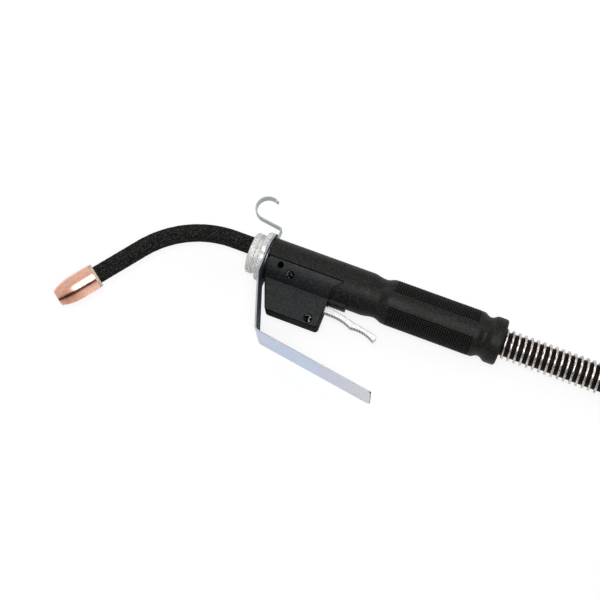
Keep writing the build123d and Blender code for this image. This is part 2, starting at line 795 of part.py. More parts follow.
def make_coil_ties():
    ties = []
    inside = coil_half + tie_gap
    outside = inside + tie_sheet
    inner_corner = coil_corner_r + tie_gap
    for angle in tie_angles:
        loop = RectangleRounded(2 * outside, 2 * outside, inner_corner + tie_sheet)
        loop -= RectangleRounded(2 * inside, 2 * inside, inner_corner)
        strap = extrude(Plane.XZ * loop, tie_width / 2, both=True)
        ties.append(Pos(coil_x, coil_y, coil_centre_z) * Rot(0, 0, angle) * Pos(coil_mid_r, 0, 0) * strap)
    return group(ties)


# ---- rear connector, lying along -X behind the tail ----
def along_connector(shape):
    place = Plane(origin=(boot_front, tail_y, connector_z), x_dir=(0, 0, 1), z_dir=(-1, 0, 0))
    return place.location * shape


def make_connector_boot():
    return along_connector(turned([(0, 0), (boot_front_r, 0), (boot_r, boot_length * 0.7),
                                   (shell_r, boot_length), (0, boot_length)]))


def make_connector_shell():
    body = turned([(0, boot_length), (shell_r, boot_length), (shell_r, nut_start - soft_gap),
                   (nut_seat_r, nut_start - soft_gap), (nut_seat_r, shell_face), (0, shell_face)])
    body -= rod_z(pin_root_r + slip, 0, 0, pin_start - slip, shell_face + 1)
    deep = shell_face - contact_pin_inside - slip
    for side in (-1, 1):
        body -= rod_z(contact_pin_r + slip, 0, side * contact_pin_spread, deep, shell_face + 1)
    return along_connector(body)


def make_connector_nut():
    bore = nut_seat_r + slip
    body = turned([(bore, nut_start), (nut_r, nut_start), (nut_r, shell_face - end_chamfer),
                   (nut_r - end_chamfer, shell_face), (bore, shell_face)])
    for k in range(nut_flutes):
        flute = rod_z(flute_r, nut_r + flute_r * 0.4, 0, nut_start - 1, shell_face + 1)
        body -= Rot(0, 0, 360 / nut_flutes * k) * flute
    return along_connector(body)


def make_power_pin():
    end = shell_face + pin_length
    pin = turned([(0, pin_start), (pin_root_r, pin_start), (pin_root_r, shell_face), (pin_r, shell_face),
                  (pin_r, end - end_chamfer), (pin_r - end_chamfer, end), (0, end)])
    return along_connector(pin - rod_z(pin_bore_r, 0, 0, end - pin_bore_depth, end + 1))


def make_contact_pins():
    low = shell_face - contact_pin_inside
    high = shell_face + contact_pin_length
    pins = [rod_z(contact_pin_r, 0, side * contact_pin_spread, low, high) for side in (-1, 1)]
    return group([along_connector(pin) for pin in pins])


gun_pieces = {
    "contact_tip": make_contact_tip(),
    "nozzle": make_nozzle(),
    "nozzle_insulator": make_nozzle_insulator(),
    "tip_holder": make_tip_holder(),
    "neck_tube": make_neck_tube(),
    "neck_sleeve": make_neck_sleeve(),
    "wire_liner": make_wire_liner(),
    "nose_collar": make_nose_collar(),
    "collar_screws": make_collar_screws(),
    "hand_shield": make_hand_shield(),
    "hanging_hook": make_hanging_hook(),
    "handle": make_handle(),
    "housing_left": make_housing(1),
    "housing_right": make_housing(-1),
    "housing_screws": make_housing_screws(),
    "trigger": make_trigger(),
    "trigger_pin": make_trigger_pin(),
    "trigger_spring": make_trigger_spring(),
    "switch_body": make_switch_body(),
    "switch_plunger": make_switch_plunger(),
    "switch_terminals": make_switch_terminals(),
    "switch_leads": make_switch_leads(),
    "conductor_block": make_conductor_block(),
    "set_screws": make_set_screws(),
    "cable_ferrule": make_cable_ferrule(),
    "cable_end": make_cable_end(),
    "cable_clamp": make_cable_clamp(),
    "rear_bushing": make_rear_bushing(),
}
cord_pieces = {
    "cable_spring": make_cable_spring(),
    "gun_cable": make_gun_cable(),
    "cable_coil": make_cable_coil(),
    "coil_ties": make_coil_ties(),
    "cable_tail": make_cable_tail(),
    "connector_boot": make_connector_boot(),
    "connector_shell": make_connector_shell(),
    "connector_nut": make_connector_nut(),
    "power_pin": make_power_pin(),
    "contact_pins": make_contact_pins(),
}

box = Compound([solid for piece in gun_pieces.values() for solid in piece.solids()]).bounding_box()
to_row_frame = Pos(-box.center().X, -box.center().Y, -box.min.Z)
print("row origin in the gun frame", [round(value, 3) for value in (*box.center(), box.min.Z)])

os.makedirs("parts", exist_ok=True)
for name, piece in {**gun_pieces, **cord_pieces}.items():
    placed = to_row_frame * piece
    solids = placed.solids()
    export_step(placed if len(solids) > 1 else solids[0], f"parts/{name}.step")
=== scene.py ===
import math
import bpy
from mathutils import Matrix, Vector


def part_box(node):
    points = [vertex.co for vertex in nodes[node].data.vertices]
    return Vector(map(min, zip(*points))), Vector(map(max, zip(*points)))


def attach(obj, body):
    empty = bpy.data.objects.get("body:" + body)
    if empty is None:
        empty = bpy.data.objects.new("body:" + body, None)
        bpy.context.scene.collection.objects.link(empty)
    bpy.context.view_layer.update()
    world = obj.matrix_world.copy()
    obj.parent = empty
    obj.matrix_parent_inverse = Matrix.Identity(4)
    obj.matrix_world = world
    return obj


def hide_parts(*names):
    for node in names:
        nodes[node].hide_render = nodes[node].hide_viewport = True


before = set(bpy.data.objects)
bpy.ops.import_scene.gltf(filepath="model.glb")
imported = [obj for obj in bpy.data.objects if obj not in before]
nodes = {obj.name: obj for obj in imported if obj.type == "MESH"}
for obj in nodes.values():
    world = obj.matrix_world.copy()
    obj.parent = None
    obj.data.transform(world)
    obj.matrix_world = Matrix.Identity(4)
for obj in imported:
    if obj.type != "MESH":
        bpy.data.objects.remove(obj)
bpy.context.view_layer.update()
scene = bpy.context.scene
scene.view_settings.view_transform = "Standard"
print("frame loaded with", len(nodes), "nodes")

# Gun axes in metres: x back along the handle from the collar's rear face,
# y towards the hook, z towards the gun's left side, which faces up.
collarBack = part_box("nose_collar")[1].x
cableLow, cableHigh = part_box("cable_end")
gunOrigin = Vector((collarBack, (cableLow.y + cableHigh.y) / 2, (cableLow.z + cableHigh.z) / 2))


def gun(x, y, z=0.0):
    return gunOrigin + Vector((x, y, z))


# the camera looks down on the gun's left side, from a little behind the shield
camera = {"toCamera": (0.142, -0.2675, 0.953), "distance": 0.95, "lens": 66.3,
          "aim": (0.0405, -0.0258, 0.0), "rollDegrees": 20.21}


def makeCamera():
    back = Vector(camera["toCamera"]).normalized()
    along = Vector((1, 0, 0))
    along = (along - along.dot(back) * back).normalized()
    across = (-back).cross(along)
    roll = math.radians(camera["rollDegrees"])
    right = math.cos(roll) * along - math.sin(roll) * across
    down = math.sin(roll) * along + math.cos(roll) * across
    data = bpy.data.cameras.new("mainCamera")
    data.lens = camera["lens"]
    made = bpy.data.objects.new("mainCamera", data)
    scene.collection.objects.link(made)
    place = Matrix((right, -down, back)).transposed().to_4x4()
    place.translation = gun(*camera["aim"]) + back * camera["distance"]
    made.matrix_world = place
    scene.camera = made


makeCamera()
print("camera placed")


# small modelling steps that several pieces share
mergeDistance = 0.00001


def deselectAll():
    if bpy.context.object and bpy.context.object.mode != "OBJECT":
        bpy.ops.object.mode_set(mode="OBJECT")
    bpy.ops.object.select_all(action="DESELECT")


def workOn(*pieces):
    deselectAll()
    for piece in pieces:
        piece.select_set(True)
    bpy.context.view_layer.objects.active = pieces[0]


def editAll(piece):
    workOn(piece)
    bpy.ops.object.mode_set(mode="EDIT")
    bpy.ops.mesh.select_all(action="SELECT")


def stopEditing():
    bpy.ops.object.mode_set(mode="OBJECT")


def closeSeams():
    # doubles go first, then every face is turned outwards
    bpy.ops.mesh.select_all(action="SELECT")
    bpy.ops.mesh.remove_doubles(threshold=mergeDistance)
    bpy.ops.mesh.normals_make_consistent(inside=False)


def selectEdges(piece, wanted):
    stopEditing()
    points = piece.data.vertices
    for part in (piece.data.polygons, points):
        for item in part:
            item.select = False
    for edge in piece.data.edges:
        edge.select = wanted(*(points[end].co for end in edge.vertices))
    bpy.ops.object.mode_set(mode="EDIT")
    bpy.ops.mesh.select_mode(type="EDGE")


def applyAll(piece):
    workOn(piece)
    for modifier in list(piece.modifiers):
        bpy.ops.object.modifier_apply(modifier=modifier.name)


def softenEdges(piece, width):
    edges = piece.modifiers.new("edges", "BEVEL")
    edges.width = width
    edges.segments = 2
    applyAll(piece)


def settle(piece, place=None):
    # the piece's place goes into its mesh, so that its object stays at the origin
    if place is not None:
        piece.matrix_world = place
    workOn(piece)
    bpy.ops.object.transform_apply(location=True, rotation=True, scale=True)


def addBox(size, location=(0, 0, 0)):
    deselectAll()
    bpy.ops.mesh.primitive_cube_add(size=1, location=location)
    made = bpy.context.object
    made.scale = size
    settle(made)
    return made


def joined(*pieces):
    workOn(*pieces)
    bpy.ops.object.join()
    return pieces[0]


def finishPiece(piece, name, material, replaced=(), smoothAngle=40):
    workOn(piece)
    bpy.ops.object.shade_smooth_by_angle(angle=math.radians(smoothAngle))
    piece.name = name
    piece.data.name = name
    piece.data.materials.clear()
    piece.data.materials.append(material)
    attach(piece, "gun")
    if replaced:
        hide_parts(*replaced)
    return piece


# shader maths
class Signal:
    # a socket that takes part in arithmetic
    def __init__(self, wiring, socket):
        self.wiring = wiring
        self.socket = socket

    def __add__(self, other):
        return self.wiring.math("ADD", self, other)

    def __sub__(self, other):
        return self.wiring.math("SUBTRACT", self, other)

    def __rsub__(self, other):
        return self.wiring.math("SUBTRACT", other, self)

    def __mul__(self, other):
        return self.wiring.math("MULTIPLY", self, other)

    __radd__ = __add__
    __rmul__ = __mul__


class Wiring:
    # a node tree: every node comes from node(), and the other methods are short ways to call it
    def __init__(self, tree):
        self.tree = tree

    def node(self, kind, settings, values, output=0):
        made = self.tree.nodes.new(kind)
        for key, value in settings.items():
            if key == "stops":
                self.setStops(made.color_ramp, value)
            else:
                setattr(made, key, value)
        for key, value in values.items():
            if isinstance(value, Signal):
                self.feed(made.inputs[key], value)
            else:
                made.inputs[key].default_value = value
        return Signal(self, made.outputs[output])

    def setStops(self, ramp, stops):
        while len(ramp.elements) < len(stops):
            ramp.elements.new(1.0)
        for element, (position, colour) in zip(ramp.elements, stops):
            element.position = position
            element.color = (*colour, 1.0)

    def feed(self, socket, signal):
        self.tree.links.new(signal.socket, socket)

    def math(self, operation, first, second=0.0):
        return self.node("ShaderNodeMath", {"operation": operation}, {0: first, 1: second})

    def vectorMath(self, operation, first, second, output="Vector"):
        return self.node("ShaderNodeVectorMath", {"operation": operation}, {0: first, 1: second}, output)

    def spread(self, signal, low, high, toLow=0.0, toHigh=1.0):
        return self.node("ShaderNodeMapRange", {}, {0: signal, 1: low, 2: high, 3: toLow, 4: toHigh})

    def rays(self, kind):
        return self.node("ShaderNodeLightPath", {}, {}, kind)


class Finish(Wiring):
    # one material and its principled shader, on which what is the same all over is set
    def __init__(self, name, fixed):
        self.material = bpy.data.materials.new(name)
        self.material.use_nodes = True
        super().__init__(self.material.node_tree)
        self.shader = self.tree.nodes["Principled BSDF"]
        for socket, value in fixed.items():
            self.shader.inputs[socket].default_value = value

    def coordinates(self, kind="Object"):
        return self.node("ShaderNodeTexCoord", {}, {}, kind)

    def along(self, axis, kind="Object"):
        # one number of the object coordinates, of the surface's normal or of the UV map
        return self.node("ShaderNodeSeparateXYZ", {}, {0: self.coordinates(kind)}, axis)

    def towards(self, direction, kind="Object"):
        return self.vectorMath("DOT_PRODUCT", self.coordinates(kind), direction, "Value")

    def stretched(self, scales, turn=(0, 0, 0)):
        values = {"Vector": self.coordinates(), "Scale": scales, "Rotation": turn}
        return self.node("ShaderNodeMapping", {}, values)

    def noise(self, scale, detail=3.0, roughness=0.6, vector=None):
        values = {"Vector": vector or self.coordinates(), "Scale": scale, "Detail": detail,
                  "Roughness": roughness}
        return self.node("ShaderNodeTexNoise", {}, values)

    def spots(self, scale):
        values = {"Vector": self.coordinates(), "Scale": scale}
        return self.node("ShaderNodeTexVoronoi", {}, values, "Distance")

    def wave(self, signal, halfTurns=1):
        return self.math("SINE", signal * (math.pi * halfTurns))

    def either(self, mask, first, second):
        return first * mask + second * (1.0 - mask)

    def ramp(self, signal, stops):
        return self.node("ShaderNodeValToRGB", {"stops": stops}, {0: signal})

    def blend(self, factor, first, second):
        colours = {0: factor, 6: self.colour(first), 7: self.colour(second)}
        return self.node("ShaderNodeMix", {"data_type": "RGBA"}, colours, 2)

    def colour(self, value):
        return value if isinstance(value, Signal) else (*value, 1.0)

    def relief(self, height, distance, strength=1.0, under=None):
        values = {"Height": height, "Distance": distance, "Strength": strength}
        if under:
            values["Normal"] = under
        return self.node("ShaderNodeBump", {}, values, "Normal")

    def set(self, socket, signal):
        self.feed(self.shader.inputs[socket], signal)


# woven sleeve on the neck: its cells are also raised in the mesh, further down
weave = {"cellsAround": 22, "cellsAlong": 80, "threads": 8, "fuzzScale": 1200, "lit": (0.86, 0.98),
         "dark": (0.0015, 0.0015, 0.0015), "light": (0.085, 0.085, 0.08), "relief": 0.0004}


def wovenSleeveFinish():
    made = Finish("wovenSleeve", {"Roughness": 0.95, "Specular IOR Level": 0.08})
    around = made.along("X", "UV") * weave["cellsAround"]
    along = made.along("Y", "UV") * weave["cellsAlong"]
    rising = around + along
    falling = around - along
    over = made.math("GREATER_THAN", made.wave(around) * made.wave(along), 0.0)
    strand = made.either(over, *(made.math("ABSOLUTE", made.wave(way)) for way in (rising, falling)))
    threads = made.either(over, *(made.wave(way, weave["threads"]) for way in (rising, falling)))
    fuzz = made.noise(weave["fuzzScale"], 3.0, 0.7)
    lit = made.spread(strand * 0.4 + fuzz, *weave["lit"])
    made.set("Base Color", made.blend(lit, weave["dark"], weave["light"]))
    made.set("Normal", made.relief(strand * 0.7 + threads * 0.12 + fuzz * 0.35, weave["relief"], 0.9))
    return made.material


# the third colour and the two reaches from the mouth are for a painted warm reflection
copper = {"base": (0.90, 0.54, 0.43), "warm": (0.68, 0.32, 0.21), "warmReflectionColour": (0.52, 0.25, 0.16),
          "polished": 0.15, "drawn": 0.3, "axisTurn": 54.0, "warmReflectionStart": 0.006, "warmReflectionEnd": 0.022,
          "turning": (2400, 90, 90), "patchScale": 130, "fleckScale": 620, "relief": 0.00002}


def paintedWarmReflection(made, patches):
    # painted warm reflection: a browner patch near the nozzle's mouth, on the side towards the shield
    turn = math.radians(copper["axisTurn"])
    axis = Vector((math.cos(turn), math.sin(turn), 0))
    shieldSide = Vector((math.sin(turn), -math.cos(turn), 0))
    mouth = min(point.co.dot(axis) for point in nodes["nozzle"].data.vertices)
    along = made.towards(axis)
    reached = made.spread(along, mouth + copper["warmReflectionEnd"], mouth + copper["warmReflectionEnd"] * 0.6)
    weakerAtMouth = made.spread(along, mouth, mouth + copper["warmReflectionStart"], 0.4, 1.0)
    beside = made.spread(made.towards(shieldSide, "Normal"), -0.1, 0.5)
    return reached * weakerAtMouth * beside * made.spread(patches, 0.3, 0.55, 0.6, 1.0)


def copperFinish(name, roughness, withWarmReflection=False):
    made = Finish(name, {"Metallic": 1.0})
    turn = (0, 0, math.radians(-copper["axisTurn"]))
    turned = made.noise(1.0, vector=made.stretched(copper["turning"], turn))
    patches = made.noise(copper["patchScale"])
    flecks = made.noise(copper["fleckScale"], 3.0, 0.7)
    tone = made.spread(patches * 0.45 + flecks * 0.35 + turned * 0.2, 0.4, 0.66)
    colour = made.blend(tone, copper["base"], copper["warm"])
    if withWarmReflection:
        colour = made.blend(paintedWarmReflection(made, patches), colour, copper["warmReflectionColour"])
    made.set("Base Color", colour)
    made.set("Roughness", made.spread(patches + turned * 0.4, 0.4, 1.0, roughness, roughness + 0.12))
    made.set("Normal", made.relief(turned, copper["relief"], 0.12))
    return made.material


fibre = {"dark": (0.34, 0.27, 0.21), "light": (0.48, 0.39, 0.32), "grain": 900, "relief": 0.0001}


def fibreFinish():
    made = Finish("fibreRing", {"Roughness": 0.75})
    grain = made.noise(fibre["grain"], 4.0, 0.7)
    made.set("Base Color", made.blend(made.spread(grain, 0.3, 0.7), fibre["dark"], fibre["light"]))
    made.set("Normal", made.relief(grain, fibre["relief"]))
    return made.material


alloy = {"grain": 1050, "pitScale": 620, "waveScale": 170, "relief": 0.00032, "ribRelief": 0.0006,
         "ribShade": (0.20, 0.20, 0.20), "pressed": (-0.45, -0.75)}
castings = {
    "castAlloy": {"base": (0.68, 0.68, 0.67), "shade": (0.24, 0.24, 0.23)},
    "triggerAlloy": {"base": (0.72, 0.72, 0.71), "shade": (0.46, 0.46, 0.45), "ribPitch": 0.0024},
}


def castAlloyFinish(name, base, shade, ribPitch=0.0):
    made = Finish(name, {"Metallic": 0.35})
    grain = made.noise(alloy["grain"], 4.0, 0.75)
    pits = made.spread(made.spots(alloy["pitScale"]), 0.05, 0.5)
    waves = made.noise(alloy["waveScale"], 2.0, 0.5)
    colour = made.blend(made.spread(grain * 0.85 + waves * 0.15, 0.40, 0.58), shade, base)
    bumps = made.relief(grain * 0.7 + pits * 0.5 + waves, alloy["relief"], 0.9)
    if ribPitch:
        # fine ribs across the face that the finger presses, which gets painted shade, striped with the ribs
        pressed = made.spread(made.along("Y", "Normal"), *alloy["pressed"])
        ribs = made.wave(made.along("X"), 2 / ribPitch) * 0.5 + 0.5
        shaded = pressed * made.spread(ribs, 0.2, 0.8, 0.45, 1.0)
        colour = made.blend(shaded, colour, alloy["ribShade"])
        bumps = made.relief(ribs * pressed, alloy["ribRelief"], 0.8, bumps)
    made.set("Base Color", colour)
    made.set("Roughness", made.spread(grain, 0.3, 0.7, 0.42, 0.68))
    made.set("Normal", bumps)
    return made.material


# tints along the shield, from its bent leg to its free end
shieldPlate = {"stops": [(0.0, (0.50, 0.47, 0.56)), (0.12, (0.50, 0.48, 0.63)),
                         (0.25, (0.46, 0.52, 0.68)), (0.45, (0.44, 0.53, 0.70)),
                         (0.60, (0.44, 0.55, 0.72)), (0.72, (0.50, 0.51, 0.67)),
                         (0.86, (0.51, 0.52, 0.62)), (1.0, (0.51, 0.545, 0.56))],
               # the next two colours are a painted dark reflection inside the leg and the duller cut edge
               # with painted shade
               "paintedLegReflection": (0.05, 0.056, 0.068), "cutEdgeAndShade": (0.30, 0.31, 0.34),
               "haze": (0.62, 0.64, 0.70), "hazeShare": 0.35, "driftScale": 26, "drift": 0.24,
               "slant": 0.08, "cloudScale": 75, "brushing": (90, 90, 1600), "metallic": 0.8,
               "relief": 0.00002}


def zincPlateFinish():
    # passivated zinc: pale rainbow tints that drift along the sheet, duller on its cut edges,
    # which also get painted shade where they face up, and a painted dark reflection inside the leg
    made = Finish("zincPlate", {"Specular IOR Level": 0.1})
    low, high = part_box("hand_shield")
    drift = (made.noise(shieldPlate["driftScale"]) - 0.5) * shieldPlate["drift"]
    across = made.spread(made.along("Z"), low.z, high.z) * shieldPlate["slant"]
    tint = made.ramp(made.spread(made.along("X"), low.x, high.x) + drift + across, shieldPlate["stops"])
    cloud = made.noise(shieldPlate["cloudScale"], 4.0, 0.6)
    hazy = made.spread(cloud, 0.4, 0.8, 0.0, shieldPlate["hazeShare"])
    tint = made.blend(hazy, tint, shieldPlate["haze"])
    cutAndShaded = made.spread(made.along("Z", "Normal"), 0.6, 0.9)
    tint = made.blend(cutAndShaded, tint, shieldPlate["cutEdgeAndShade"])
    inside = made.spread(made.along("X", "Normal"), 0.35, 0.8)
    brushed = made.noise(1.0, vector=made.stretched(shieldPlate["brushing"]))
    made.set("Base Color", made.blend(inside, tint, shieldPlate["paintedLegReflection"]))
    made.set("Metallic", shieldPlate["metallic"] - inside * shieldPlate["metallic"])
    made.set("Roughness", made.spread(cloud * 0.5 + brushed * 0.5, 0.3, 0.7, 0.26, 0.42) + inside * 0.5)
    made.set("Normal", made.relief(brushed, shieldPlate["relief"], 0.4))
    return made.material


# tones is the part of the grain over which the shade turns into the base colour
steels = {
    "hookSteel": {"base": (0.36, 0.40, 0.385), "shade": (0.23, 0.26, 0.25), "roughness": 0.34},
    "springSteel": {"base": (0.69, 0.64, 0.60), "shade": (0.32, 0.285, 0.26), "roughness": 0.18,
                    "grain": 620, "tones": (0.38, 0.6)},
    "blackSteel": {"base": (0.22, 0.22, 0.22), "shade": (0.0008, 0.0008, 0.0008), "roughness": 0.12,
                   "grain": 420, "tones": (0.5, 0.6)},
    "millFlat": {"base": (0.86, 0.86, 0.85), "shade": (0.62, 0.62, 0.61), "roughness": 0.3},
}


def steelFinish(name, base, shade, roughness, grain=700, tones=(0.3, 0.7), relief=0.00003):
    made = Finish(name, {"Metallic": 1.0})
    cloud = made.noise(grain)
    made.set("Base Color", made.blend(made.spread(cloud, *tones), shade, base))
    made.set("Roughness", made.spread(cloud, 0.3, 0.7, roughness, roughness + 0.14))
    made.set("Normal", made.relief(cloud, relief, 0.5))
    return made.material


brass = {"bright": (0.78, 0.58, 0.27), "dull": (0.60, 0.40, 0.17), "turning": (2600, 60, 60),
         "cloudScale": 110, "relief": 0.00002}


def brassFinish():
    made = Finish("machinedBrass", {"Metallic": 1.0})
    lines = made.noise(1.0, vector=made.stretched(brass["turning"]))
    dulled = made.spread(made.noise(brass["cloudScale"]), 0.35, 0.7)
    made.set("Base Color", made.blend(dulled, brass["bright"], brass["dull"]))
    made.set("Roughness", made.spread(lines, 0.3, 0.7, 0.22, 0.36))
    made.set("Normal", made.relief(lines, brass["relief"], 0.5))
    return made.material


loops = {"scale": 1700, "fuzzScale": 600, "light": (0.035, 0.035, 0.04), "dark": (0.006, 0.006, 0.007),
         "relief": 0.0003}


def tieFinish():
    made = Finish("loopFabric", {"Roughness": 0.95, "Sheen Weight": 0.3, "Sheen Roughness": 0.4})
    pile = made.spots(loops["scale"])
    deep = made.spread(pile + made.noise(loops["fuzzScale"]) * 0.4, 0.2, 0.9)
    made.set("Base Color", made.blend(deep, loops["light"], loops["dark"]))
    made.set("Normal", made.relief(pile, loops["relief"]))
    return made.material


# the studded grip, which the handle's finish needs too; its zones are degrees from the gun's left side
grip = {"start": 0.1152, "end": 0.1888, "radius": 0.0199, "pitch": 0.0020, "studWidth": 0.0013,
        "studHeight": 0.0009, "rise": 0.00016, "groundShade": 0.6, "groundFade": 0.001,
        "zones": {"gripStudsOver": (12, 168), "gripStudsUnder": (-153, -27)}}
hole = {"x": 0.0166, "y": -0.0079, "radius": 0.0027, "rim": (1.03, 0.96)}
lowEdge = {"y": -0.030, "shade": 0.8, "turned": (0.95, 0.7)}
seam = {"y": -0.0037, "end": 0.0720, "width": 0.0019, "under": 0.001}


def openHole(made):
    # the shade inside the small hole near the housing's front
    across = made.vectorMath("MULTIPLY", made.coordinates(), (1, 1, 0))
    centre = gun(hole["x"], hole["y"])
    away = made.vectorMath("DISTANCE", across, (centre.x, centre.y, 0), "Value")
    return made.spread(away, *(hole["radius"] * share for share in hole["rim"]))


def housingShade(made):
    # painted shade: the rounded lower edges are darker than the flat sides
    rounded = made.spread(made.math("ABSOLUTE", made.along("Z", "Normal")), *lowEdge["turned"])
    low = made.math("LESS_THAN", made.along("Y") - gunOrigin.y, lowEdge["y"])
    return rounded * low * lowEdge["shade"] + openHole(made)


def handleShade(made):
    # painted shade on the ground between the grip's studs and in the seam along the housing's upper edge
    along = made.along("X") - gunOrigin.x
    height = made.along("Y") - gunOrigin.y
    begun = made.spread(along, grip["start"] - grip["groundFade"], grip["start"])
    ended = made.spread(along, grip["end"] + grip["groundFade"], grip["end"])
    overFrom, underTo = (grip["radius"] * math.sin(math.radians(angle))
                         for angle in (grip["zones"]["gripStudsOver"][0], grip["zones"]["gripStudsUnder"][1]))
    studded = made.math("GREATER_THAN", height, overFrom) + made.math("LESS_THAN", height, underTo)
    inSeam = made.spread(height, seam["y"] + seam["width"], seam["y"] + seam["width"] * 0.6)
    inSeam = inSeam * made.math("GREATER_THAN", height, seam["y"] - seam["under"])
    inSeam = inSeam * made.math("LESS_THAN", along, seam["end"])
    return begun * ended * studded * grip["groundShade"] + inSeam + openHole(made)


# worn is the colour of rubbed spots and specks, shine the specular level, and the last entry the mask of the
# piece's painted shade
plastics = {
    "handleBlack": {"base": (0.0012, 0.0012, 0.001), "worn": (0.0175, 0.0175, 0.016), "roughness": 0.5,
                    "paintedShade": handleShade},
    "gripBlack": {"base": (0.012, 0.012, 0.011), "worn": (0.024, 0.024, 0.022), "roughness": 0.5},
    "housingGrey": {"base": (0.005, 0.0055, 0.006), "worn": (0.021, 0.022, 0.023), "roughness": 0.48,
                    "grain": 1100, "relief": 0.00008, "paintedShade": housingShade},
    "switchBlack": {"base": (0.03, 0.03, 0.03), "worn": (0.05, 0.05, 0.05), "roughness": 0.3},
    "plungerRed": {"base": (0.35, 0.03, 0.02), "worn": (0.45, 0.06, 0.04), "roughness": 0.35},
    "cableJacket": {"base": (0.0035, 0.0022, 0.0016), "worn": (0.007, 0.0045, 0.0036), "roughness": 0.5,
                    "grain": 900, "relief": 0.0001, "shine": 0.06},
    "softRubber": {"base": (0.014, 0.014, 0.014), "worn": (0.028, 0.028, 0.027), "roughness": 0.66,
                   "grain": 1000, "relief": 0.0001},
    "connectorPlastic": {"base": (0.022, 0.022, 0.023), "worn": (0.04, 0.04, 0.04), "roughness": 0.45},
}
# rubbed spots and specks, then the painted shade's colour and roughness
wearAndShade = {"blotchScale": 55, "rubScale": 160, "speckScale": 700, "rubbed": (0.28, 0.46), "specks": (0.46, 0.62),
        "speckShare": 0.8, "paintedShadeColour": (0.0008, 0.0008, 0.0008), "deepRoughness": 0.45}


def mouldedFinish(name, base, worn, roughness, grain=1400, relief=0.00005, shine=0.15, paintedShade=None):
    # moulded plastic or rubber: fine skin texture, faint blotches and paler rubbed spots
    made = Finish(name, {"Specular IOR Level": shine})
    skin = made.noise(grain, 2.0, 0.5)
    blotch = made.noise(wearAndShade["blotchScale"])
    rubbed = made.spread(made.noise(wearAndShade["rubScale"], 4.0, 0.7) * blotch, *wearAndShade["rubbed"])
    specks = made.spread(made.noise(wearAndShade["speckScale"], 3.0, 0.7), *wearAndShade["specks"])
    paler = rubbed * (1 - wearAndShade["speckShare"]) + specks * wearAndShade["speckShare"]
    colour = made.blend(paler, base, worn)
    dullness = made.spread(skin * 0.4 + blotch * 0.6, 0.35, 0.65, roughness - 0.05, roughness + 0.09)
    # painted shade: where the mask is set, the piece turns almost black, rougher and metallic
    if paintedShade:
        shade = paintedShade(made)
        colour = made.blend(shade, colour, wearAndShade["paintedShadeColour"])
        dullness = dullness + shade * wearAndShade["deepRoughness"]
        made.set("Metallic", shade)
    made.set("Base Color", colour)
    made.set("Roughness", dullness)
    made.set("Normal", made.relief(skin, relief, 0.7))
    return made.material


finishes = {
    "wovenSleeve": wovenSleeveFinish(),
    "polishedCopper": copperFinish("polishedCopper", copper["polished"], withWarmReflection=True),
    "drawnCopper": copperFinish("drawnCopper", copper["drawn"]),
    "fibreRing": fibreFinish(),
    "zincPlate": zincPlateFinish(),
    "machinedBrass": brassFinish(),
    "loopFabric": tieFinish(),
}
for makeFinish, kinds in ((castAlloyFinish, castings), (steelFinish, steels), (mouldedFinish, plastics)):
    for name, facts in kinds.items():
        finishes[name] = makeFinish(name, **facts)

nodesOfFinish = {
    "polishedCopper": ["nozzle"],
    "drawnCopper": ["contact_tip", "neck_tube", "cable_ferrule"],
    "fibreRing": ["nozzle_insulator"],
    "machinedBrass": ["tip_holder", "conductor_block", "switch_terminals", "power_pin", "contact_pins"],
    "wovenSleeve": ["neck_sleeve"],
    "castAlloy": ["nose_collar"],
    "triggerAlloy": ["trigger"],
    "zincPlate": ["hand_shield"],
    "hookSteel": ["hanging_hook"],
    "springSteel": ["wire_liner", "trigger_pin", "trigger_spring", "cable_spring"],
    "blackSteel": ["collar_screws", "housing_screws", "set_screws"],
    "handleBlack": ["handle"],
    "housingGrey": ["housing_left", "housing_right"],
    "switchBlack": ["switch_body"],
    "plungerRed": ["switch_plunger"],
    "cableJacket": ["cable_end", "gun_cable", "cable_coil", "cable_tail"],
    "softRubber": ["switch_leads", "rear_bushing", "connector_boot"],
    "connectorPlastic": ["cable_clamp", "connector_shell", "connector_nut"],
    "loopFabric": ["coil_ties"],
}
for finish, names in nodesOfFinish.items():
    for name in names:
        nodes[name].data.materials.clear()
        nodes[name].data.materials.append(finishes[finish])
print("finishes made:", len(finishes))

# cable: out of the handle, down, three and a half turns of coil, and back to the plug
# inwards, rises and outwards are the degrees travelled while it does so,
# plugRun the way from the coil to the plug: share of the distance, share of the height left
cable = {"diameter": 0.0208, "spacing": 0.021, "exitX": 0.2136, "restPoints": (0.350, 0.440),
         "coilX": 0.486, "outerTurn": 0.1145, "lowTurn": -0.0096, "plugHeight": -0.0002,
         "bootAhead": 0.104, "pointsPerTurn": 24, "turns": 3.5, "length": 2.66,
         "inwards": (200, 250), "rises": (515, 590), "outwards": (860, 915),
         "plugRun": ((0.08, 1), (0.38, 1), (0.65, 0.35), (0.85, 0.05), (1, 0))}
coilCentre = gun(cable["coilX"], -cable["outerTurn"], cable["lowTurn"] + cable["spacing"] / 2)


def changed(name, travelled):
    # 0 before a change, 1 after it, and an eased step between
    start, end = cable[name]
    share = min(max((travelled - start) / (end - start), 0), 1)
    return share * share * (3 - 2 * share)


